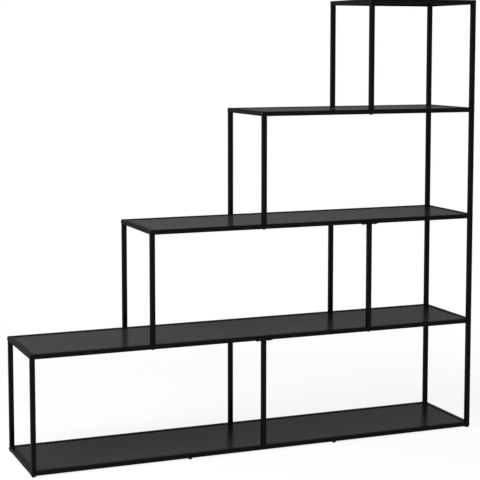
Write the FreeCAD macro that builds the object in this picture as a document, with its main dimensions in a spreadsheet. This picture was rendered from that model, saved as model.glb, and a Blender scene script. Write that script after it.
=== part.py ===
import FreeCAD
import Part
import Sketcher
import os
from enum import IntEnum

# Stepped bookcase of square steel tube with inset sheet-steel shelves, in millimetres.
# Frame: +Z up, front towards -Y, origin on the floor under the middle of the bookcase.
# The treads are the widths of the steps from left to right, each between two left faces of posts.

SIZES = {
    "first_tread": 416,
    "second_tread": 408,
    "third_tread": 412,
    "top_width": 427,
    "overall_depth": 330,
    "level_pitch": 390,
    "lower_middle_inset": 1,
    "upper_middle_inset": 4,
    "tube_size": 16,
    "tube_wall": 1.2,
    "tube_corner": 1.5,
    "cap_round": 1,
    "panel_thickness": 1,
    "panel_lip": 12,
    "panel_bend": 2.5,
    "panel_drop": 2,
    "bolt_diameter": 6,
    "bolt_engagement": 15,
    "bolt_head_diameter": 10.5,
    "bolt_head_height": 3.3,
    "bolt_head_round": 2.4,
    "bolt_socket": 4,
    "bolt_socket_depth": 2,
    "hole_gap": 0.2,
    "thread_gap": 0.05,
    "fit_gap": 0.05,
    "plug_spare": 3,
    "access_side_wall": 1,
    "access_gap": 0.55,
    "flange_thickness": 2,
    "flange_ear": 22.5,
    "flange_screw_edge": 8,
    "screw_diameter": 5,
    "screw_head_diameter": 9.5,
    "screw_head_height": 2.8,
    "screw_head_round": 2,
    "screw_socket": 3,
    "screw_socket_depth": 1.6,
    "screw_bush_wall": 1.5,
    "screw_bush_headroom": 4,
    "screw_bush_spare": 2,
    "foot_height": 5,
    "foot_diameter": 15,
    "foot_round": 1.5,
    "foot_stem_diameter": 6,
    "foot_stem_headroom": 0.8,
    "foot_bush_wall": 1.5,
    "foot_bush_headroom": 4.8,
    "glide_bolt_gap": 1,
}

doc = FreeCAD.newDocument("ladder_bookcase")
dims = doc.addObject("Spreadsheet::Sheet", "dims")
for row, (name, value) in enumerate(SIZES.items(), 1):
    dims.set(f"A{row}", name)
    dims.set(f"B{row}", str(value))
    dims.setAlias(f"B{row}", name)
doc.recompute()

subparts = []

# Directions that a piece's own Z can take, and where the levels, rows and posts stand

UPRIGHT = FreeCAD.Rotation()
ALONG_X = FreeCAD.Rotation(FreeCAD.Vector(0, 1, 0), 90)
AGAINST_X = FreeCAD.Rotation(FreeCAD.Vector(0, 1, 0), -90)
ALONG_Y = FreeCAD.Rotation(FreeCAD.Vector(1, 0, 0), -90)

TUBE = "dims.tube_size"
HALF_TUBE = "(dims.tube_size / 2)"
TUBE_BORE = "(dims.tube_size - 2 * dims.tube_wall)"
TUBE_ROUND = "min(dims.tube_corner; 3 * dims.tube_wall)"

FIRST_STEP = "dims.first_tread"
SECOND_STEP = f"({FIRST_STEP} + dims.second_tread)"
THIRD_STEP = f"({SECOND_STEP} + dims.third_tread)"
WIDTH = f"({THIRD_STEP} + dims.top_width)"
LEFT_FACE = f"(-{WIDTH} / 2)"
RIGHT_FACE = f"({WIDTH} / 2)"
ROWS = {
    "front": f"(-dims.overall_depth / 2 + {HALF_TUBE})",
    "rear": f"(dims.overall_depth / 2 - {HALF_TUBE})",
}

# Offsets are measured from the left end of the bookcase to the left face of a post
LEFT_OFFSET = "0"
RIGHT_OFFSET = f"({WIDTH} - {TUBE})"
SHELF_OFFSET = {1: LEFT_OFFSET, 2: LEFT_OFFSET, 3: FIRST_STEP, 4: SECOND_STEP, 5: THIRD_STEP}
TOP_LEVEL = max(SHELF_OFFSET)
STEP_FRAMES = {"first_step": 3, "second_step": 4, "third_step": 5}
MIDDLE_POSTS = {
    "lower_middle": (1, f"({SECOND_STEP} - dims.lower_middle_inset)"),
    "upper_middle": (2, f"({THIRD_STEP} - dims.upper_middle_inset)"),
}
FOOT_BAYS = 3
FOOT_SPACING = f"(({WIDTH} - {TUBE}) / {FOOT_BAYS})"
INNER_FEET = {
    "left": f"({FOOT_SPACING} + {HALF_TUBE})",
    "right": f"(2 * {FOOT_SPACING} + {HALF_TUBE})",
}


def shelf_top(level):
    return f"(dims.foot_height + {TUBE} + {level - 1} * dims.level_pitch)"


def shelf_under(level):
    return f"({shelf_top(level)} - {TUBE})"


def rail_axis(level):
    return f"({shelf_top(level)} - {HALF_TUBE})"


def shelf_left(level):
    return f"({LEFT_FACE} + {SHELF_OFFSET[level]})"


def shelf_rail_length(level):
    return f"({WIDTH} - {SHELF_OFFSET[level]} - 2 * {TUBE})"


def post_axis(offset):
    return f"({LEFT_FACE} + {offset} + {HALF_TUBE})"


def along_rail(level, distance):
    """Turn a distance from the left end of the bookcase into one from the left end of a shelf's rail."""
    return f"({distance} - {SHELF_OFFSET[level]} - {TUBE})"


# Sketches and features shared by the pieces

ROUGH = 10
SKETCH_NORMAL = FreeCAD.Vector(0, 0, 1)
START, END, CENTRE = IntEnum("PointOfCurve", "START END CENTRE")
HORIZONTAL_AXIS = -1
VERTICAL_AXIS = -2
ORIGIN_POINT = (HORIZONTAL_AXIS, START)


def new_body(label):
    body = doc.addObject("PartDesign::Body", label)
    body.Label = label
    return body


def place(item, position, rotation):
    item.Placement = FreeCAD.Placement(FreeCAD.Vector(), rotation)
    for axis, expression in zip("xyz", position):
        item.setExpression(f"Placement.Base.{axis}", expression)


def new_sketch(body, name, role, lift=None):
    sketch = body.newObject("Sketcher::SketchObject", name)
    plane = next(item for item in body.Origin.OriginFeatures if item.Role == role)
    sketch.AttachmentSupport = [(plane, "")]
    sketch.MapMode = "FlatFace"
    if lift:
        sketch.setExpression("AttachmentOffset.Base.z", lift)
    return sketch


def drive(sketch, kind, items, expression):
    """Add a dimension to a sketch and bind it to the sheet."""
    index = sketch.addConstraint(Sketcher.Constraint(kind, *items, ROUGH))
    sketch.setExpression(f"Constraints[{index}]", expression)


def draw_rectangle(sketch, width, height):
    """Rectangle centred on the sketch's origin."""
    signs = ((-1, -1), (1, -1), (1, 1), (-1, 1))
    corners = [FreeCAD.Vector(x, y, 0) * (ROUGH / 2) for x, y in signs]
    for start, end in zip(corners, corners[1:] + corners[:1]):
        sketch.addGeometry(Part.LineSegment(start, end))
    for side in range(4):
        direction = "Vertical" if side % 2 else "Horizontal"
        sketch.addConstraint(Sketcher.Constraint("Coincident", side, END, (side + 1) % 4, START))
        sketch.addConstraint(Sketcher.Constraint(direction, side))
    sketch.addConstraint(Sketcher.Constraint("Symmetric", 0, START, 2, START, *ORIGIN_POINT))
    drive(sketch, "DistanceX", (0, START, 0, END), width)
    drive(sketch, "DistanceY", (1, START, 1, END), height)


def draw_circle(sketch, diameter):
    """Circle centred on the sketch's origin."""
    circle = sketch.addGeometry(Part.Circle(FreeCAD.Vector(), SKETCH_NORMAL, ROUGH / 2))
    sketch.addConstraint(Sketcher.Constraint("Coincident", circle, CENTRE, *ORIGIN_POINT))
    drive(sketch, "Diameter", (circle,), diameter)


def draw_hexagon(sketch, across_flats):
    """Hexagon centred on the sketch's origin, with one side upright."""
    turn = FreeCAD.Rotation(SKETCH_NORMAL, 60)
    corner = FreeCAD.Rotation(SKETCH_NORMAL, 30).multVec(FreeCAD.Vector(ROUGH / 2, 0, 0))
    for side in range(6):
        following = turn.multVec(corner)
        sketch.addGeometry(Part.LineSegment(corner, following))
        corner = following
    circle = sketch.addGeometry(Part.Circle(FreeCAD.Vector(), SKETCH_NORMAL, ROUGH / 2), True)
    sketch.addConstraint(Sketcher.Constraint("Coincident", circle, CENTRE, *ORIGIN_POINT))
    for side in range(6):
        sketch.addConstraint(Sketcher.Constraint("Coincident", side, END, (side + 1) % 6, START))
        sketch.addConstraint(Sketcher.Constraint("PointOnObject", side, START, circle))
        if side:
            sketch.addConstraint(Sketcher.Constraint("Equal", 0, side))
    sketch.addConstraint(Sketcher.Constraint("Vertical", 5))
    drive(sketch, "Diameter", (circle,), f"{across_flats} / cos(30)")


def pad(body, sketch, length, downwards=False):
    feature = body.newObject("PartDesign::Pad", f"{sketch.Name}_pad")
    feature.Profile = sketch
    feature.Reversed = downwards
    feature.setExpression("Length", length)
    return feature


def pocket_upwards(body, sketch, depth=None):
    """Cut from the sketch along its normal: to a depth, or right through."""
    feature = body.newObject("PartDesign::Pocket", f"{sketch.Name}_pocket")
    feature.Profile = sketch
    feature.Reversed = True
    if depth:
        feature.setExpression("Length", depth)
    else:
        feature.Type = "ThroughAll"
    return feature


TOUCH = 1e-4


def runs_full_height(edge, box):
    return edge.ZLength > box.ZLength - TOUCH


def lies_on_top(edge, box):
    return edge.ZMin > box.ZMax - TOUCH


def lies_at_bottom(edge, box):
    return edge.ZMax < box.ZMin + TOUCH


def round_edges(body, base, chosen, radius):
    """Fillet the edges of a feature that the given test picks by their boxes."""
    doc.recompute()
    box = base.Shape.BoundBox
    names = [f"Edge{i}" for i, edge in enumerate(base.Shape.Edges, 1) if chosen(edge.BoundBox, box)]
    fillet = body.newObject("PartDesign::Fillet", f"{base.Name}_fillet")
    fillet.Base = (base, names)
    fillet.setExpression("Radius", radius)
    return fillet


# Square tubes: a tube runs along its own Z, and its holes run along its own X


def drill(body, name, holes, both_walls):
    """Round holes across a tube, each as (distance from its start, diameter)."""
    sketch = new_sketch(body, f"{body.Name}_{name}", "YZ_Plane")
    for distance, diameter in holes:
        middle = FreeCAD.Vector(0, ROUGH, 0)
        circle = sketch.addGeometry(Part.Circle(middle, SKETCH_NORMAL, ROUGH / 2))
        sketch.addConstraint(Sketcher.Constraint("PointOnObject", circle, CENTRE, VERTICAL_AXIS))
        drive(sketch, "DistanceY", (*ORIGIN_POINT, circle, CENTRE), distance)
        drive(sketch, "Diameter", (circle,), diameter)
    feature = pocket_upwards(body, sketch)
    if both_walls:
        feature.SideType = "Symmetric"


def tube(label, position, rotation, length, through=(), under=(), capped=False):
    """Square tube with holes through both walls and holes in its lower wall only."""
    body = new_body(label)
    outline = new_sketch(body, f"{label}_outline", "XY_Plane")
    draw_rectangle(outline, TUBE, TUBE)
    bar = pad(body, outline, length)
    rounded = round_edges(body, bar, runs_full_height, TUBE_ROUND)
    if capped:
        round_edges(body, rounded, lies_on_top, f"min(dims.cap_round; {TUBE_ROUND} / 2)")
    bore = new_sketch(body, f"{label}_bore", "XY_Plane")
    draw_rectangle(bore, TUBE_BORE, TUBE_BORE)
    pocket_upwards(body, bore, f"{length} - dims.tube_wall" if capped else None)
    if through:
        drill(body, "through_holes", through, both_walls=True)
    if under:
        drill(body, "lower_holes", under, both_walls=False)
    place(body, position, rotation)
    subparts.append(body)


BOLT_HOLE = "(dims.bolt_diameter + 2 * dims.hole_gap)"


def post(label, offset, row, bottom, length, bolted_levels=()):
    """Upright tube, closed on top, with a bolt hole across it at each shelf that it carries."""
    holes = [(f"{rail_axis(level)} - {bottom}", BOLT_HOLE) for level in bolted_levels]
    tube(label, (post_axis(offset), ROWS[row], bottom), UPRIGHT, length, through=holes, capped=True)


SIDE_RAIL_LENGTH = f"(dims.overall_depth - 2 * {TUBE})"
SIDE_RAIL_START = f"(-{SIDE_RAIL_LENGTH} / 2)"


def side_rail(label, offset, level):
    """Rail between a front and a rear post, at the end of a shelf."""
    start = (post_axis(offset), SIDE_RAIL_START, rail_axis(level))
    tube(label, start, ALONG_Y, SIDE_RAIL_LENGTH)


# Right side frame: full-height posts and a rail at every level

right_post_length = f"({shelf_top(TOP_LEVEL)} - dims.foot_height)"
for row in ROWS:
    post(f"right_{row}_post", RIGHT_OFFSET, row, "dims.foot_height", right_post_length, SHELF_OFFSET)
for level in SHELF_OFFSET:
    side_rail(f"right_rail_{level}", RIGHT_OFFSET, level)

# Left end frame of the lowest bay

left_post_length = f"({shelf_top(2)} - dims.foot_height)"
for row in ROWS:
    post(f"left_{row}_post", LEFT_OFFSET, row, "dims.foot_height", left_post_length, (1, 2))
for level in (1, 2):
    side_rail(f"left_rail_{level}", LEFT_OFFSET, level)

# Step frames: two posts that stand on one shelf and end flush with the next, and a rail between them

for step, level in STEP_FRAMES.items():
    for row in ROWS:
        bottom = shelf_top(level - 1)
        post(f"{step}_{row}_post", SHELF_OFFSET[level], row, bottom, "dims.level_pitch", (level,))
    side_rail(f"{step}_rail", SHELF_OFFSET[level], level)

# Middle posts: they stand on one shelf and end in a flange plate under the next

middle_post_length = f"(dims.level_pitch - {TUBE} - dims.flange_thickness)"
for name, (level, offset) in MIDDLE_POSTS.items():
    for row in ROWS:
        post(f"{name}_{row}_post", offset, row, shelf_top(level), middle_post_length)

# Shelf rails: tubes between the posts, drilled for what stands on them and what is fixed under them

ACCESS_HOLE = f"({TUBE_BORE} - 2 * dims.access_side_wall)"
FLANGE_SCREW_REACH = f"({HALF_TUBE} + dims.flange_ear - dims.flange_screw_edge)"
SCREW_BUSH_DIAMETER = "(dims.screw_diameter + 2 * dims.screw_bush_wall)"
FOOT_BUSH_DIAMETER = "(dims.foot_stem_diameter + 2 * dims.foot_bush_wall)"


def rail_holes(level):
    """Holes of one shelf rail: those through it, then those in its lower wall."""
    through = []
    under = []
    for step_level in STEP_FRAMES.values():
        if step_level == level + 1:
            distance = along_rail(level, f"{SHELF_OFFSET[step_level]} + {HALF_TUBE}")
            through.append((distance, BOLT_HOLE))
    for name, (standing_level, offset) in MIDDLE_POSTS.items():
        distance = along_rail(level, f"{offset} + {HALF_TUBE}")
        if standing_level == level:
            through.append((distance, BOLT_HOLE))
        if standing_level == level == 1:
            under.append((distance, ACCESS_HOLE))
        if standing_level == level - 1:
            bush_hole = f"{SCREW_BUSH_DIAMETER} + 2 * dims.fit_gap"
            under.append((f"{distance} - {FLANGE_SCREW_REACH}", bush_hole))
            under.append((f"{distance} + {FLANGE_SCREW_REACH}", bush_hole))
    if level == 1:
        bush_hole = f"{FOOT_BUSH_DIAMETER} + 2 * dims.fit_gap"
        under.extend((along_rail(level, distance), bush_hole) for distance in INNER_FEET.values())
    return through, under


for level in SHELF_OFFSET:
    through, under = rail_holes(level)
    for row, y in ROWS.items():
        start = (f"{shelf_left(level)} + {TUBE}", y, rail_axis(level))
        tube(f"shelf_{level}_{row}_rail", start, ALONG_X, shelf_rail_length(level), through, under)

# Shelf panels: sheet steel folded down on all four sides, a little lower than the tubes around it


def panel(level):
    body = new_body(f"shelf_{level}_panel")
    length = shelf_rail_length(level)
    sheet = new_sketch(body, f"{body.Name}_sheet", "XY_Plane")
    draw_rectangle(sheet, length, SIDE_RAIL_LENGTH)
    slab = pad(body, sheet, "dims.panel_lip")
    round_edges(body, slab, lies_on_top, "min(dims.panel_bend; 3 * dims.panel_thickness)")
    hollow = new_sketch(body, f"{body.Name}_hollow", "XY_Plane")
    both_sides = "2 * dims.panel_thickness"
    draw_rectangle(hollow, f"{length} - {both_sides}", f"{SIDE_RAIL_LENGTH} - {both_sides}")
    pocket_upwards(body, hollow, "dims.panel_lip - dims.panel_thickness")
    middle = f"{shelf_left(level)} + {TUBE} + {length} / 2"
    bottom = f"{shelf_top(level)} - dims.panel_drop - dims.panel_lip"
    place(body, (middle, "0", bottom), UPRIGHT)
    subparts.append(body)


for level in SHELF_OFFSET:
    panel(level)

# Small parts: each is modelled once and set in every place that takes one


def group(label, pattern, places):
    """One node of identical separate pieces, each place being (x, y, z, rotation)."""
    copies = []
    for number, (x, y, z, rotation) in enumerate(places, 1):
        copy = doc.addObject("App::Link", f"{label}_{number}")
        copy.LinkedObject = pattern
        place(copy, (x, y, z), rotation)
        copies.append(copy)
    node = doc.addObject("Part::Compound", label)
    node.Label = label
    node.Links = copies
    subparts.append(node)


def button_head_bolt(label, kind, head_diameter, length):
    """Bolt along its own Z, with a domed head below the origin and a hexagon socket."""
    body = new_body(label)
    head_outline = new_sketch(body, f"{label}_head", "XY_Plane")
    draw_circle(head_outline, head_diameter)
    head = pad(body, head_outline, f"dims.{kind}_head_height", downwards=True)
    dome = f"min(dims.{kind}_head_round; 0.75 * dims.{kind}_head_height)"
    round_edges(body, head, lies_at_bottom, dome)
    shank = new_sketch(body, f"{label}_shank", "XY_Plane")
    draw_circle(shank, f"dims.{kind}_diameter")
    pad(body, shank, length)
    socket = new_sketch(body, f"{label}_socket", "XY_Plane", lift=f"-dims.{kind}_head_height")
    draw_hexagon(socket, f"dims.{kind}_socket")
    pocket_upwards(body, socket, f"dims.{kind}_socket_depth")
    return body


def bush(label, diameter, bore_diameter, length):
    """Round threaded sleeve along its own Z."""
    body = new_body(label)
    outline = new_sketch(body, f"{label}_outline", "XY_Plane")
    draw_circle(outline, diameter)
    pad(body, outline, length)
    bore = new_sketch(body, f"{label}_bore", "XY_Plane")
    draw_circle(bore, bore_diameter)
    pocket_upwards(body, bore)
    return body


def end_plug(label):
    """Square threaded plug that fills the end of a tube, along its own Z."""
    body = new_body(label)
    outline = new_sketch(body, f"{label}_outline", "XY_Plane")
    side = f"{TUBE_BORE} - 2 * dims.fit_gap"
    draw_rectangle(outline, side, side)
    pad(body, outline, "dims.bolt_engagement + dims.plug_spare")
    bore = new_sketch(body, f"{label}_bore", "XY_Plane")
    draw_circle(bore, "dims.bolt_diameter + 2 * dims.thread_gap")
    pocket_upwards(body, bore)
    return body


# Side bolts go through the posts into plugs in the ends of the shelf rails

frame_bolt_length = f"{TUBE} + dims.bolt_engagement"
frame_bolt = button_head_bolt("frame_bolt", "bolt", "dims.bolt_head_diameter", frame_bolt_length)
tube_plug = end_plug("tube_plug")
left_bolts = []
right_bolts = []
rail_plugs = []
for level in SHELF_OFFSET:
    for y in ROWS.values():
        z = rail_axis(level)
        left_bolts.append((shelf_left(level), y, z, ALONG_X))
        right_bolts.append((RIGHT_FACE, y, z, AGAINST_X))
        rail_plugs.append((f"{shelf_left(level)} + {TUBE}", y, z, ALONG_X))
        rail_plugs.append((f"{RIGHT_FACE} - {TUBE}", y, z, AGAINST_X))
group("left_side_bolts", frame_bolt, left_bolts)
group("right_side_bolts", frame_bolt, right_bolts)
group("rail_end_plugs", tube_plug, rail_plugs)

# Post bolts come up through a shelf's rails into plugs in the posts that stand on it.
# The lower middle posts have short bolts whose heads sit inside the bottom rails.

RECESSED_HEAD = f"({ACCESS_HOLE} - 2 * dims.access_gap)"
recessed_bolt_length = "dims.tube_wall + dims.bolt_engagement"
recessed_bolt = button_head_bolt("recessed_bolt", "bolt", RECESSED_HEAD, recessed_bolt_length)
standing_posts = [(level - 1, SHELF_OFFSET[level]) for level in STEP_FRAMES.values()]
standing_posts.extend(MIDDLE_POSTS.values())
post_bolts = []
recessed_bolts = []
post_plugs = []
for level, offset in standing_posts:
    for y in ROWS.values():
        x = post_axis(offset)
        post_plugs.append((x, y, shelf_top(level), UPRIGHT))
        if level == 1:
            recessed_bolts.append((x, y, f"{shelf_top(level)} - dims.tube_wall", UPRIGHT))
        else:
            post_bolts.append((x, y, shelf_under(level), UPRIGHT))
group("post_bolts", frame_bolt, post_bolts)
group("recessed_post_bolts", recessed_bolt, recessed_bolts)
group("post_end_plugs", tube_plug, post_plugs)

# Flange plates on the middle posts, their screws and the bushes that the screws turn into


def flange_plate(label):
    body = new_body(label)
    outline = new_sketch(body, f"{label}_outline", "XY_Plane")
    draw_rectangle(outline, f"{TUBE} + 2 * dims.flange_ear", TUBE)
    plate = pad(body, outline, "dims.flange_thickness")
    round_edges(body, plate, runs_full_height, TUBE_ROUND)
    holes = new_sketch(body, f"{label}_holes", "XY_Plane")
    for side in (-1, 1):
        middle = FreeCAD.Vector(side * ROUGH, 0, 0)
        circle = holes.addGeometry(Part.Circle(middle, SKETCH_NORMAL, ROUGH / 4))
        holes.addConstraint(Sketcher.Constraint("PointOnObject", circle, CENTRE, HORIZONTAL_AXIS))
        ends = (circle, CENTRE, *ORIGIN_POINT) if side < 0 else (*ORIGIN_POINT, circle, CENTRE)
        drive(holes, "DistanceX", ends, FLANGE_SCREW_REACH)
        drive(holes, "Diameter", (circle,), "dims.screw_diameter + 2 * dims.hole_gap")
    pocket_upwards(body, holes)
    return body


screw_bush_length = f"({TUBE} - dims.tube_wall - dims.screw_bush_headroom)"
screw_length = f"dims.flange_thickness + {screw_bush_length} - dims.screw_bush_spare"
screw_bore = "dims.screw_diameter + 2 * dims.thread_gap"
flange_screw = button_head_bolt("flange_screw", "screw", "dims.screw_head_diameter", screw_length)
screw_bush = bush("screw_bush", SCREW_BUSH_DIAMETER, screw_bore, screw_bush_length)
flanges = []
flange_screws = []
screw_bushes = []
for level, offset in MIDDLE_POSTS.values():
    for y in ROWS.values():
        x = post_axis(offset)
        rail_under = shelf_under(level + 1)
        flange_under = f"{rail_under} - dims.flange_thickness"
        flanges.append((x, y, flange_under, UPRIGHT))
        for sign in "-+":
            screw_x = f"{x} {sign} {FLANGE_SCREW_REACH}"
            flange_screws.append((screw_x, y, flange_under, UPRIGHT))
            screw_bushes.append((screw_x, y, rail_under, UPRIGHT))
group("middle_post_flanges", flange_plate("flange_plate"), flanges)
group("flange_screws", flange_screw, flange_screws)
group("flange_screw_bushes", screw_bush, screw_bushes)

# Feet: push-in glides under the corner posts, levelling feet in bushes under the bottom rails


def foot(label, stem_diameter, stem_length):
    """Moulded foot that stands on the floor, with a round stem going up into the frame."""
    body = new_body(label)
    base_outline = new_sketch(body, f"{label}_base", "XY_Plane")
    draw_circle(base_outline, "dims.foot_diameter")
    base = pad(body, base_outline, "dims.foot_height")
    round_edges(body, base, lies_at_bottom, "min(dims.foot_round; dims.foot_height / 2)")
    stem = new_sketch(body, f"{label}_stem", "XY_Plane", lift="dims.foot_height")
    draw_circle(stem, stem_diameter)
    pad(body, stem, stem_length)
    return body


spigot_length = f"{HALF_TUBE} - dims.bolt_diameter / 2 - dims.glide_bolt_gap"
corner_glide = foot("corner_glide", f"{TUBE_BORE} - 2 * dims.fit_gap", spigot_length)
corners = [(post_axis(offset), y) for offset in (LEFT_OFFSET, RIGHT_OFFSET) for y in ROWS.values()]
group("corner_glides", corner_glide, [(x, y, "0", UPRIGHT) for x, y in corners])

foot_bush_length = f"{TUBE} - dims.tube_wall - dims.foot_bush_headroom"
foot_bush_bore = "dims.foot_stem_diameter + 2 * dims.thread_gap"
foot_bush = bush("foot_bush", FOOT_BUSH_DIAMETER, foot_bush_bore, foot_bush_length)
foot_stem_length = f"{TUBE} - dims.tube_wall - dims.foot_stem_headroom"
foot_bushes = []
for side, distance in INNER_FEET.items():
    for row, y in ROWS.items():
        x = f"{LEFT_FACE} + {distance}"
        foot_bushes.append((x, y, "dims.foot_height", UPRIGHT))
        levelling_foot = foot(f"levelling_foot_{row}_{side}", "dims.foot_stem_diameter", foot_stem_length)
        place(levelling_foot, (x, y, "0"), UPRIGHT)
        subparts.append(levelling_foot)
group("foot_bushes", foot_bush, foot_bushes)

# Recompute, test every object and write one file for each sub-part

doc.recompute()
for item in doc.Objects:
    if "Invalid" in item.State or "Error" in item.State:
        raise RuntimeError(f"{item.Label} failed: {item.State}")
for item in subparts:
    if item.Shape.isNull() or not item.Shape.isValid() or not item.Shape.Solids:
        raise RuntimeError(f"{item.Label} has no valid solid")

os.makedirs("parts", exist_ok=True)
for item in subparts:
    item.Shape.exportStep(f"parts/{item.Label}.step")
    print(item.Label, len(item.Shape.Solids), round(item.Shape.Volume, 1))
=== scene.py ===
import bpy
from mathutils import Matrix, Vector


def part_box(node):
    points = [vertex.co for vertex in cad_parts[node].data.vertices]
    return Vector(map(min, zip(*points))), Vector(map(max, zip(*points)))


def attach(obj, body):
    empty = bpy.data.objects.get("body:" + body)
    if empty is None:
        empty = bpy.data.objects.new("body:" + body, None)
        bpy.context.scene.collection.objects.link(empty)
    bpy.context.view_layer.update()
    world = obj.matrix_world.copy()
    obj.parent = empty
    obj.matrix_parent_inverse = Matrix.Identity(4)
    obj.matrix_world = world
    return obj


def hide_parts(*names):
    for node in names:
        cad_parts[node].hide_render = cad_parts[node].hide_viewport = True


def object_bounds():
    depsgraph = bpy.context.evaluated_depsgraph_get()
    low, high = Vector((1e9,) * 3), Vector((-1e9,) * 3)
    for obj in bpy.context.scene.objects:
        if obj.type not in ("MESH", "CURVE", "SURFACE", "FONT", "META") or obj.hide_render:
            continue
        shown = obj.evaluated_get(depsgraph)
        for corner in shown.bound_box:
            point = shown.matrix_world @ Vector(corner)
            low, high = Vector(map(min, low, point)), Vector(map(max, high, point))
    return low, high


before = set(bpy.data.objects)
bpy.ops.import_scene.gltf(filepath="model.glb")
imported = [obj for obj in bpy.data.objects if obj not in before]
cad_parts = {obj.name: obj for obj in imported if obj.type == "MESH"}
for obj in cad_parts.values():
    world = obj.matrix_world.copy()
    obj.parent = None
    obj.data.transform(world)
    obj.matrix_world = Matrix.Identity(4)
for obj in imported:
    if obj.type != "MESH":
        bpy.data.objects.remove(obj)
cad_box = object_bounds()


def linear(code):
    """Linear RGBA of an sRGB hex colour."""
    channels = [int(code[i:i + 2], 16) / 255 for i in (1, 3, 5)]
    return [c / 12.92 if c <= 0.04045 else ((c + 0.055) / 1.055) ** 2.4 for c in channels] + [1]


def add_node(tree, kind, inputs=None, **settings):
    """Add a node, make its settings, then link or set its inputs by name or number.
    A node given as an input stands for its first output."""
    node = tree.nodes.new(kind)
    for name, value in settings.items():
        setattr(node, name, value)
    for socket, value in (inputs or {}).items():
        if isinstance(value, bpy.types.Node):
            value = value.outputs[0]
        if isinstance(value, bpy.types.NodeSocket):
            tree.links.new(value, node.inputs[socket])
        else:
            node.inputs[socket].default_value = value
    return node


def new_finish(name):
    """Material with an empty node tree."""
    finish = bpy.data.materials.new(name)
    finish.use_nodes = True
    finish.node_tree.nodes.clear()
    return finish, finish.node_tree


def dress(finish, *names):
    """Give CAD nodes a finish through their own material slots."""
    for name in names:
        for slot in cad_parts[name].material_slots:
            slot.material = finish


MM = 0.001

# Numbers of the Mix node's colour sockets, which share their names with its other sockets
COLOUR_A = 6
COLOUR_B = 7
MIXED_COLOUR = 2

TUBE_COAT_DARK = "#070707"
TUBE_COAT_LIGHT = "#0c0c0c"
TUBE_FILM_PATCH = 60 * MM
TUBE_PEEL = 5 * MM
TUBE_FLATS = 0.11
PEEL_HEIGHT = 0.004 * MM
CREST_ROUGHNESS = 0.65
FLAT_ROUGHNESS = 0.22


def powder_coat(name, dark, light, patch, peel, flats):
    """Fine-textured polyester powder, baked on: its crests stay matt, and the flats between them mirror.
    The flats' share is the coat weight, with paint's usual IOR of 1.5, and is matched to the object.
    It ripples faintly like orange peel: only the long ripples are drawn, and they show only close up."""
    finish, tree = new_finish(name)
    place = add_node(tree, "ShaderNodeTexCoord").outputs["Object"]
    film = add_node(tree, "ShaderNodeTexNoise", {"Vector": place, "Scale": 1 / patch, "Detail": 4})
    ripple = add_node(tree, "ShaderNodeTexNoise", {"Vector": place, "Scale": 1 / peel, "Detail": 1})
    colour = add_node(tree, "ShaderNodeMix", {
        "Factor": film.outputs["Fac"],
        COLOUR_A: linear(dark),
        COLOUR_B: linear(light),
    }, data_type="RGBA")
    bump = add_node(tree, "ShaderNodeBump", {"Height": ripple.outputs["Fac"], "Distance": PEEL_HEIGHT})
    surface = add_node(tree, "ShaderNodeBsdfPrincipled", {
        "Base Color": colour.outputs[MIXED_COLOUR],
        "Roughness": CREST_ROUGHNESS,
        "Specular IOR Level": 0.0,
        "Normal": bump,
        "Coat Weight": flats,
        "Coat Roughness": FLAT_ROUGHNESS,
        "Coat Normal": bump,
    })
    add_node(tree, "ShaderNodeOutputMaterial", {"Surface": surface})
    return finish


tube_coat = powder_coat(
    "satin_black_powder_coat", TUBE_COAT_DARK, TUBE_COAT_LIGHT, TUBE_FILM_PATCH, TUBE_PEEL, TUBE_FLATS)

LEVELS = range(1, 6)
ROWS = ("front", "rear")
STEPS = ("first_step", "second_step", "third_step")
dress(tube_coat, *(f"right_rail_{level}" for level in LEVELS), "left_rail_1", "left_rail_2")
dress(tube_coat, *(f"{step}_rail" for step in STEPS))
for upright in ("left", "right", *STEPS, "lower_middle", "upper_middle"):
    dress(tube_coat, *(f"{upright}_{row}_post" for row in ROWS))

# Shelf rails: the same square tube, running the length of each shelf between two frames.
# A bolt through the frame's post holds each end, in a threaded plug pressed into the rail.
for level in LEVELS:
    dress(tube_coat, *(f"shelf_{level}_{row}_rail" for row in ROWS))

# Shelf panels: trays of 1 mm sheet steel with their edges folded down, dropped in between the tubes.
# The powder flows out more evenly on flat sheet, so it is a little greyer and mirrors the posts behind.
PANEL_COAT_DARK = "#1c1c1c"
PANEL_COAT_LIGHT = "#222222"
PANEL_FILM_PATCH = 140 * MM
PANEL_PEEL = 6 * MM
PANEL_FLATS = 0.15

panel_coat = powder_coat(
    "fine_black_panel_coat", PANEL_COAT_DARK, PANEL_COAT_LIGHT, PANEL_FILM_PATCH, PANEL_PEEL, PANEL_FLATS)
dress(panel_coat, *(f"shelf_{level}_panel" for level in LEVELS))

# Frame bolts: button-head socket bolts of blackened steel, M6, with a hexagon socket for a key.
# They pass through the posts into the shelf rails' ends, and up through rails into the posts above.
import math

rail_low, rail_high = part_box("shelf_1_front_rail")
tube_size = rail_high.z - rail_low.z
THREAD_ENGAGEMENT = 15 * MM
BOLT_SIZES = {
    "Head Diameter": 10.5 * MM,
    "Head Height": 3.3 * MM,
    "Rim Height": 0.9 * MM,
    "Socket Width": 4 * MM,
    "Socket Depth": 2 * MM,
    "Shank Diameter": 6 * MM,
    "Shank Length": tube_size + THREAD_ENGAGEMENT,
}
HEAD_SIDES = 32
HEAD_RINGS = 7
SHANK_SIDES = 20
SHANK_ROOT = 0.3 * MM
KEY_SIDES = 6
CORNER_PER_WIDTH = 0.5 / math.cos(math.pi / KEY_SIDES)
CREASE_ANGLE = math.radians(35)
TIGHTENING_SEED = 4

# Number of the Random Value node's output for plain numbers
RANDOM_NUMBER = 1


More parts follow.
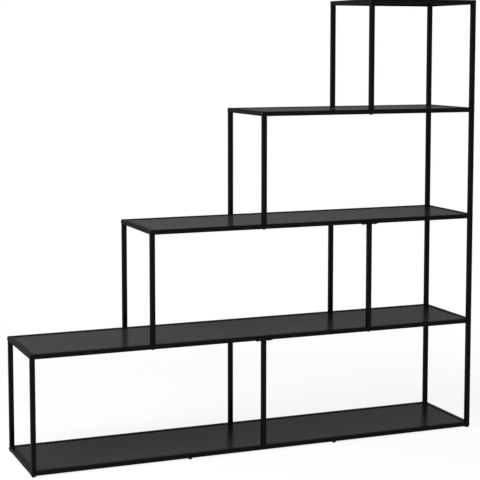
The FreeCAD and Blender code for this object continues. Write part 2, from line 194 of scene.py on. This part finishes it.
def button_bolt_tree():
    """Node tree that sets a domed socket bolt on each point, with its shank along the point's direction."""
    tree = bpy.data.node_groups.new("button_head_bolt", "GeometryNodeTree")
    tree.interface.new_socket("Seats", in_out="INPUT", socket_type="NodeSocketGeometry")
    for size in BOLT_SIZES:
        tree.interface.new_socket(size, in_out="INPUT", socket_type="NodeSocketFloat")
    tree.interface.new_socket("Finish", in_out="INPUT", socket_type="NodeSocketMaterial")
    tree.interface.new_socket("Bolts", in_out="OUTPUT", socket_type="NodeSocketGeometry")
    given = add_node(tree, "NodeGroupInput").outputs

    # Head: a disc with a straight rim, whose outer face is pushed out into a dome
    head_radius = add_node(tree, "ShaderNodeMath", {
        0: given["Head Diameter"], 1: 0.5}, operation="MULTIPLY")
    disc = add_node(tree, "GeometryNodeMeshCylinder", {
        "Vertices": HEAD_SIDES,
        "Fill Segments": HEAD_RINGS,
        "Radius": head_radius,
        "Depth": given["Rim Height"],
    }, fill_type="TRIANGLE_FAN")
    half_rim = add_node(tree, "ShaderNodeMath", {0: given["Rim Height"], 1: -0.5}, operation="MULTIPLY")
    rim_drop = add_node(tree, "ShaderNodeCombineXYZ", {"Z": half_rim})
    seated = add_node(tree, "GeometryNodeTransform", {"Geometry": disc, "Translation": rim_drop})
    place = add_node(tree, "GeometryNodeInputPosition")
    flat = add_node(tree, "ShaderNodeVectorMath", {0: place, 1: (1, 1, 0)}, operation="MULTIPLY")
    reach = add_node(tree, "ShaderNodeVectorMath", {0: flat}, operation="LENGTH")
    swing = add_node(tree, "ShaderNodeMapRange", {
        "Value": reach.outputs["Value"],
        "From Max": head_radius,
        "To Max": math.pi / 2,
    })
    sine = add_node(tree, "ShaderNodeMath", {0: swing}, operation="SINE")
    spread = add_node(tree, "ShaderNodeMath", {0: sine, 1: head_radius}, operation="MULTIPLY")
    outward = add_node(tree, "ShaderNodeVectorMath", {0: flat}, operation="NORMALIZE")
    ring = add_node(tree, "ShaderNodeVectorMath", {0: outward, "Scale": spread}, operation="SCALE")
    cosine = add_node(tree, "ShaderNodeMath", {0: swing}, operation="COSINE")
    crown = add_node(tree, "ShaderNodeMapRange", {
        "Value": cosine,
        "To Min": given["Rim Height"],
        "To Max": given["Head Height"],
    })
    crown_drop = add_node(tree, "ShaderNodeCombineXYZ", {"Z": crown})
    domed = add_node(tree, "ShaderNodeVectorMath", {0: ring, 1: crown_drop}, operation="SUBTRACT")
    head = add_node(tree, "GeometryNodeSetPosition", {
        "Geometry": seated, "Selection": disc.outputs["Bottom"], "Position": domed})

    # Shank: starts inside the head, so that the two join into one solid
    shank_radius = add_node(tree, "ShaderNodeMath", {
        0: given["Shank Diameter"], 1: 0.5}, operation="MULTIPLY")
    rod_length = add_node(tree, "ShaderNodeMath", {
        0: given["Shank Length"], 1: SHANK_ROOT}, operation="ADD")
    rod = add_node(tree, "GeometryNodeMeshCylinder", {
        "Vertices": SHANK_SIDES, "Radius": shank_radius, "Depth": rod_length})
    rod_middle = add_node(tree, "ShaderNodeMath", {
        0: rod_length, 1: 0.5, 2: -SHANK_ROOT}, operation="MULTIPLY_ADD")
    rod_lift = add_node(tree, "ShaderNodeCombineXYZ", {"Z": rod_middle})
    shank = add_node(tree, "GeometryNodeTransform", {"Geometry": rod, "Translation": rod_lift})
    joined = add_node(tree, "GeometryNodeMeshBoolean", operation="UNION", solver="EXACT")
    for solid in (head, shank):
        tree.links.new(solid.outputs[0], joined.inputs["Mesh 2"])

    # Socket: a hexagon cut down from the top of the dome
    key_radius = add_node(tree, "ShaderNodeMath", {
        0: given["Socket Width"], 1: CORNER_PER_WIDTH}, operation="MULTIPLY")
    key_length = add_node(tree, "ShaderNodeMath", {0: given["Socket Depth"], 1: 2.0}, operation="MULTIPLY")
    key = add_node(tree, "GeometryNodeMeshCylinder", {
        "Vertices": KEY_SIDES, "Radius": key_radius, "Depth": key_length})
    head_top = add_node(tree, "ShaderNodeMath", {0: given["Head Height"], 1: -1.0}, operation="MULTIPLY")
    key_drop = add_node(tree, "ShaderNodeCombineXYZ", {"Z": head_top})
    key_in_head = add_node(tree, "GeometryNodeTransform", {"Geometry": key, "Translation": key_drop})
    bolt = add_node(tree, "GeometryNodeMeshBoolean", {
        "Mesh 1": joined, "Mesh 2": key_in_head}, operation="DIFFERENCE", solver="EXACT")
    angle = add_node(tree, "GeometryNodeInputMeshEdgeAngle").outputs["Unsigned Angle"]
    smooth = add_node(tree, "FunctionNodeCompare", {0: angle, 1: CREASE_ANGLE}, operation="LESS_THAN")
    faired = add_node(tree, "GeometryNodeSetShadeSmooth", {
        "Geometry": bolt, "Shade Smooth": smooth}, domain="EDGE")

    # Each bolt is left at its own turn by the key
    turn = add_node(tree, "FunctionNodeRandomValue", {
        "Max": math.tau, "Seed": TIGHTENING_SEED}, data_type="FLOAT")
    tightened = add_node(tree, "FunctionNodeAxisAngleToRotation", {
        "Axis": (0, 0, 1), "Angle": turn.outputs[RANDOM_NUMBER]})
    pointing = add_node(tree, "GeometryNodeInputNamedAttribute", {
        "Name": "pointing"}, data_type="FLOAT_VECTOR")
    aimed = add_node(tree, "FunctionNodeAlignRotationToVector", {"Vector": pointing}, axis="Z")
    rotation = add_node(tree, "FunctionNodeRotateRotation", {
        "Rotation": aimed, "Rotate By": tightened}, rotation_space="LOCAL")
    placed = add_node(tree, "GeometryNodeInstanceOnPoints", {
        "Points": given["Seats"], "Instance": faired, "Rotation": rotation})
    real = add_node(tree, "GeometryNodeRealizeInstances", {"Geometry": placed})
    finished = add_node(tree, "GeometryNodeSetMaterial", {"Geometry": real, "Material": given["Finish"]})
    add_node(tree, "NodeGroupOutput", {"Bolts": finished})
    return tree


bolt_tree = button_bolt_tree()
scene = bpy.context.scene


def set_bolts(name, seats, sizes, finish):
    """Mesh of bolts, one on each (place, direction) seat."""
    points = bpy.data.meshes.new(f"{name}_seats")
    points.from_pydata([place for place, direction in seats], [], [])
    pointing = points.attributes.new("pointing", "FLOAT_VECTOR", "POINT")
    pointing.data.foreach_set("vector", [c for place, direction in seats for c in direction])
    holder = bpy.data.objects.new(f"{name}_seats", points)
    scene.collection.objects.link(holder)
    maker = holder.modifiers.new("bolts", "NODES")
    maker.node_group = bolt_tree
    for socket in bolt_tree.interface.items_tree:
        if socket.name in sizes:
            maker[socket.identifier] = sizes[socket.name]
        elif socket.name == "Finish":
            maker[socket.identifier] = finish
    evaluated = holder.evaluated_get(bpy.context.evaluated_depsgraph_get())
    mesh = bpy.data.meshes.new_from_object(evaluated)
    bpy.data.objects.remove(holder)
    bpy.data.meshes.remove(points)
    mesh.name = name
    piece = bpy.data.objects.new(name, mesh)
    scene.collection.objects.link(piece)
    return piece


OXIDE_DARK = "#1d1d1f"
OXIDE_LIGHT = "#343437"
OXIDE_SPECKLE = 1.5 * MM
OXIDE_ROUGHNESS = (0.35, 0.55)


def black_oxide_steel():
    """Steel blackened in a hot salt bath: dark grey metal with an oily sheen, cloudy in places.
    The clouding is finer than a bolt head, so its speckle is drawn at about a seventh of the head."""
    finish, tree = new_finish("black_oxide_steel")
    place = add_node(tree, "ShaderNodeTexCoord").outputs["Object"]
    cloud = add_node(tree, "ShaderNodeTexNoise", {"Vector": place, "Scale": 1 / OXIDE_SPECKLE, "Detail": 3})
    colour = add_node(tree, "ShaderNodeMix", {
        "Factor": cloud.outputs["Fac"],
        COLOUR_A: linear(OXIDE_DARK),
        COLOUR_B: linear(OXIDE_LIGHT),
    }, data_type="RGBA")
    gloss = add_node(tree, "ShaderNodeMapRange", {
        "Value": cloud.outputs["Fac"], "To Min": OXIDE_ROUGHNESS[0], "To Max": OXIDE_ROUGHNESS[1]})
    surface = add_node(tree, "ShaderNodeBsdfPrincipled", {
        "Base Color": colour.outputs[MIXED_COLOUR],
        "Metallic": 1.0,
        "Roughness": gloss,
    })
    add_node(tree, "ShaderNodeOutputMaterial", {"Surface": surface})
    return finish


bolt_black = black_oxide_steel()
TO_RIGHT = (1, 0, 0)
TO_LEFT = (-1, 0, 0)
UPWARDS = (0, 0, 1)

bolt_seats = []
for level in LEVELS:
    for row in ROWS:
        low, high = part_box(f"shelf_{level}_{row}_rail")
        middle = (low + high) / 2
        bolt_seats.append(((low.x - tube_size, middle.y, middle.z), TO_RIGHT))
        bolt_seats.append(((high.x + tube_size, middle.y, middle.z), TO_LEFT))
for upright in (*STEPS, "upper_middle"):
    for row in ROWS:
        low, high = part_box(f"{upright}_{row}_post")
        middle = (low + high) / 2
        bolt_seats.append(((middle.x, middle.y, low.z - tube_size), UPWARDS))

frame_bolts = set_bolts("frame_bolt_set", bolt_seats, BOLT_SIZES, bolt_black)
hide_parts("left_side_bolts", "right_side_bolts", "post_bolts")
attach(frame_bolts, "frame")
dress(bolt_black, "recessed_post_bolts")

# Flanges: small oblong plates of 2 mm steel welded across the tops of the middle posts.
# Two screws through each plate's ears hold it up against the shelf rail above.
dress(tube_coat, "middle_post_flanges")

# Flange screws: smaller button-head screws of the same blackened steel, M5, driven up into the rails.
# They hold in threaded bushes set in the rails' lower walls.
SCREW_HEAD = 9.5 * MM
screws_low, screws_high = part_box("flange_screws")
SCREW_SIZES = {
    "Head Diameter": SCREW_HEAD,
    "Head Height": 2.8 * MM,
    "Rim Height": 0.8 * MM,
    "Socket Width": 3 * MM,
    "Socket Depth": 1.6 * MM,
    "Shank Diameter": 5 * MM,
    "Shank Length": screws_high.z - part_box("upper_middle_front_post")[1].z,
}
lower_post_low, lower_post_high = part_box("lower_middle_front_post")
SCREW_REACH = (lower_post_low.x + lower_post_high.x) / 2 - screws_low.x - SCREW_HEAD / 2

screw_seats = []
for upright in ("lower_middle", "upper_middle"):
    for row in ROWS:
        low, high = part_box(f"{upright}_{row}_post")
        middle = (low + high) / 2
        for side in (-1, 1):
            screw_seats.append(((middle.x + side * SCREW_REACH, middle.y, high.z), UPWARDS))

flange_screws = set_bolts("flange_screw_set", screw_seats, SCREW_SIZES, bolt_black)
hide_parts("flange_screws")
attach(flange_screws, "frame")

# Plugs and bushes: turned steel, threaded inside, plated bright zinc against rust.
# They are pressed into the tubes' ends and walls, and hardly show once it is put together.
ZINC_DARK = "#a9abae"
ZINC_LIGHT = "#c9cccf"
ZINC_CLOUD = 4 * MM
ZINC_ROUGHNESS = (0.25, 0.45)


def zinc_plate():
    """Passivated zinc on turned steel: pale, slightly blue metal, brighter and duller in small patches."""
    finish, tree = new_finish("bright_zinc_plate")
    place = add_node(tree, "ShaderNodeTexCoord").outputs["Object"]
    cloud = add_node(tree, "ShaderNodeTexVoronoi", {"Vector": place, "Scale": 1 / ZINC_CLOUD})
    colour = add_node(tree, "ShaderNodeMix", {
        "Factor": cloud.outputs["Distance"],
        COLOUR_A: linear(ZINC_LIGHT),
        COLOUR_B: linear(ZINC_DARK),
    }, data_type="RGBA")
    gloss = add_node(tree, "ShaderNodeMapRange", {
        "Value": cloud.outputs["Distance"], "To Min": ZINC_ROUGHNESS[0], "To Max": ZINC_ROUGHNESS[1]})
    surface = add_node(tree, "ShaderNodeBsdfPrincipled", {
        "Base Color": colour.outputs[MIXED_COLOUR],
        "Metallic": 1.0,
        "Roughness": gloss,
    })
    add_node(tree, "ShaderNodeOutputMaterial", {"Surface": surface})
    return finish


zinc = zinc_plate()
dress(zinc, "rail_end_plugs", "post_end_plugs", "flange_screw_bushes", "foot_bushes")

# Feet: glides under the four corner posts and screw-out levelling feet under the long bottom rails.
# Both are injection-moulded black nylon, left matt and finely grained by a spark-eroded mould.
NYLON_DARK = "#0e0e0f"
NYLON_LIGHT = "#1a1a1b"
NYLON_GRAIN = 1.2 * MM
NYLON_GRAIN_HEIGHT = 0.03 * MM
NYLON_ROUGHNESS = (0.5, 0.7)
NYLON_IOR = 1.53


def moulded_nylon():
    """Glass-filled nylon: matt black with a fine pebbled skin, drawn coarser than the real grain."""
    finish, tree = new_finish("moulded_black_nylon")
    place = add_node(tree, "ShaderNodeTexCoord").outputs["Object"]
    grain = add_node(tree, "ShaderNodeTexNoise", {"Vector": place, "Scale": 1 / NYLON_GRAIN, "Detail": 2})
    colour = add_node(tree, "ShaderNodeMix", {
        "Factor": grain.outputs["Fac"],
        COLOUR_A: linear(NYLON_DARK),
        COLOUR_B: linear(NYLON_LIGHT),
    }, data_type="RGBA")
    gloss = add_node(tree, "ShaderNodeMapRange", {
        "Value": grain.outputs["Fac"], "To Min": NYLON_ROUGHNESS[0], "To Max": NYLON_ROUGHNESS[1]})
    bump = add_node(tree, "ShaderNodeBump", {
        "Height": grain.outputs["Fac"], "Distance": NYLON_GRAIN_HEIGHT})
    surface = add_node(tree, "ShaderNodeBsdfPrincipled", {
        "Base Color": colour.outputs[MIXED_COLOUR],
        "Roughness": gloss,
        "IOR": NYLON_IOR,
        "Normal": bump,
    })
    add_node(tree, "ShaderNodeOutputMaterial", {"Surface": surface})
    return finish


nylon = moulded_nylon()
dress(nylon, "corner_glides")
for row in ROWS:
    dress(nylon, *(f"levelling_foot_{row}_{side}" for side in ("left", "right")))

# Studio: a pale floor that runs out to white, a white surround and one large soft light, upper left.
# The coats mirror that white surround too, so the shelf tops turn from black to dark grey at a low angle.
from mathutils import Vector

FLOOR_HALF = 12.0
FLOOR_COLOUR = "#ececec"
SHADOW_KEPT = 0.12
SHADOW_REACH = (0.8, 2.4)
SKY_HORIZON = 0.03
SKY_ZENITH = 0.8
LAMP_PLACE = (-1.8, -0.9, 2.6)
LAMP_TARGET = (0.0, 0.0, 0.5)
LAMP_SIZE = 1.6
LAMP_POWER = 110


def background_seen(tree):
    """1 where the ray comes from the camera, a mirror or glass, and 0 for light on the object."""
    path = add_node(tree, "ShaderNodeLightPath").outputs
    seen = path["Is Camera Ray"]
    for kind in ("Is Glossy Ray", "Is Transmission Ray"):
        seen = add_node(tree, "ShaderNodeMath", {0: seen, 1: path[kind]}, operation="MAXIMUM")
    return seen


def pale_floor():
    """Matt white studio paper, lit to white away from the bookcase and keeping its shadow close by."""
    finish, tree = new_finish("pale_studio_floor")
    place = add_node(tree, "ShaderNodeTexCoord").outputs["Object"]
    flat = add_node(tree, "ShaderNodeVectorMath", {0: place, 1: (1, 1, 0)}, operation="MULTIPLY")
    away = add_node(tree, "ShaderNodeVectorMath", {0: flat}, operation="LENGTH")
    lit = add_node(tree, "ShaderNodeMapRange", {
        "Value": away.outputs["Value"],
        "From Min": SHADOW_REACH[0],
        "From Max": SHADOW_REACH[1],
        "To Min": 1 - SHADOW_KEPT,
        "To Max": 1.0,
    }, interpolation_type="SMOOTHSTEP")
    share = add_node(tree, "ShaderNodeMath", {0: lit, 1: background_seen(tree)}, operation="MULTIPLY")
    paper = add_node(tree, "ShaderNodeBsdfDiffuse", {"Color": linear(FLOOR_COLOUR)})
    white = add_node(tree, "ShaderNodeEmission", {"Strength": 1.0})
    mixed = add_node(tree, "ShaderNodeMixShader", {0: share, 1: paper, 2: white})
    add_node(tree, "ShaderNodeOutputMaterial", {"Surface": mixed})
    return finish


floor_level = cad_box[0].z
corners = [(x * FLOOR_HALF, y * FLOOR_HALF, floor_level) for x, y in ((-1, -1), (1, -1), (1, 1), (-1, 1))]
floor_mesh = bpy.data.meshes.new("studio_floor")
floor_mesh.from_pydata(corners, [], [(0, 1, 2, 3)])
floor_mesh.materials.append(pale_floor())
floor = bpy.data.objects.new("studio_floor", floor_mesh)
scene.collection.objects.link(floor)

world = bpy.data.worlds.new("studio")
world.use_nodes = True
sky = world.node_tree
sky.nodes.clear()
aim = add_node(sky, "ShaderNodeTexCoord").outputs["Generated"]
height = add_node(sky, "ShaderNodeSeparateXYZ", {0: aim}).outputs["Z"]
overhead = add_node(sky, "ShaderNodeMapRange", {
    "Value": height, "To Min": SKY_HORIZON, "To Max": SKY_ZENITH}, interpolation_type="SMOOTHSTEP")
soft_light = add_node(sky, "ShaderNodeBackground", {"Strength": overhead})
white_surround = add_node(sky, "ShaderNodeBackground", {"Color": (1, 1, 1, 1), "Strength": 1.0})
surround = add_node(sky, "ShaderNodeMixShader", {0: background_seen(sky), 1: soft_light, 2: white_surround})
add_node(sky, "ShaderNodeOutputWorld", {"Surface": surround})
scene.world = world

lamp = bpy.data.lights.new("soft_box", "AREA")
lamp.shape = "SQUARE"
lamp.size = LAMP_SIZE
lamp.energy = LAMP_POWER
lamp_object = bpy.data.objects.new("soft_box", lamp)
lamp_object.location = LAMP_PLACE
lamp_object.rotation_euler = (Vector(LAMP_TARGET) - Vector(LAMP_PLACE)).to_track_quat("-Z", "Y").to_euler()
scene.collection.objects.link(lamp_object)

# Camera: its place, turn and lens come from lining up the tubes' edges with those in the photograph.
# The shift is held small, so that the bookcase stays in the frame from other sides too.
CAMERA_PLACE = (-1.9036, -4.6254, 1.4153)
CAMERA_YAW = math.radians(22.0983)
CAMERA_PITCH = math.radians(5.5139)
CAMERA_LENS = 106.03
CAMERA_SENSOR = 36
CAMERA_SHIFT = -0.12

camera = bpy.data.cameras.new("photo_camera")
camera.lens = CAMERA_LENS
camera.sensor_width = CAMERA_SENSOR
camera.shift_y = CAMERA_SHIFT
camera_object = bpy.data.objects.new("photo_camera", camera)
camera_object.location = CAMERA_PLACE
camera_object.rotation_euler = (math.pi / 2 - CAMERA_PITCH, 0, -CAMERA_YAW)
scene.collection.objects.link(camera_object)
scene.camera = camera_object
scene.view_settings.view_transform = "Standard"
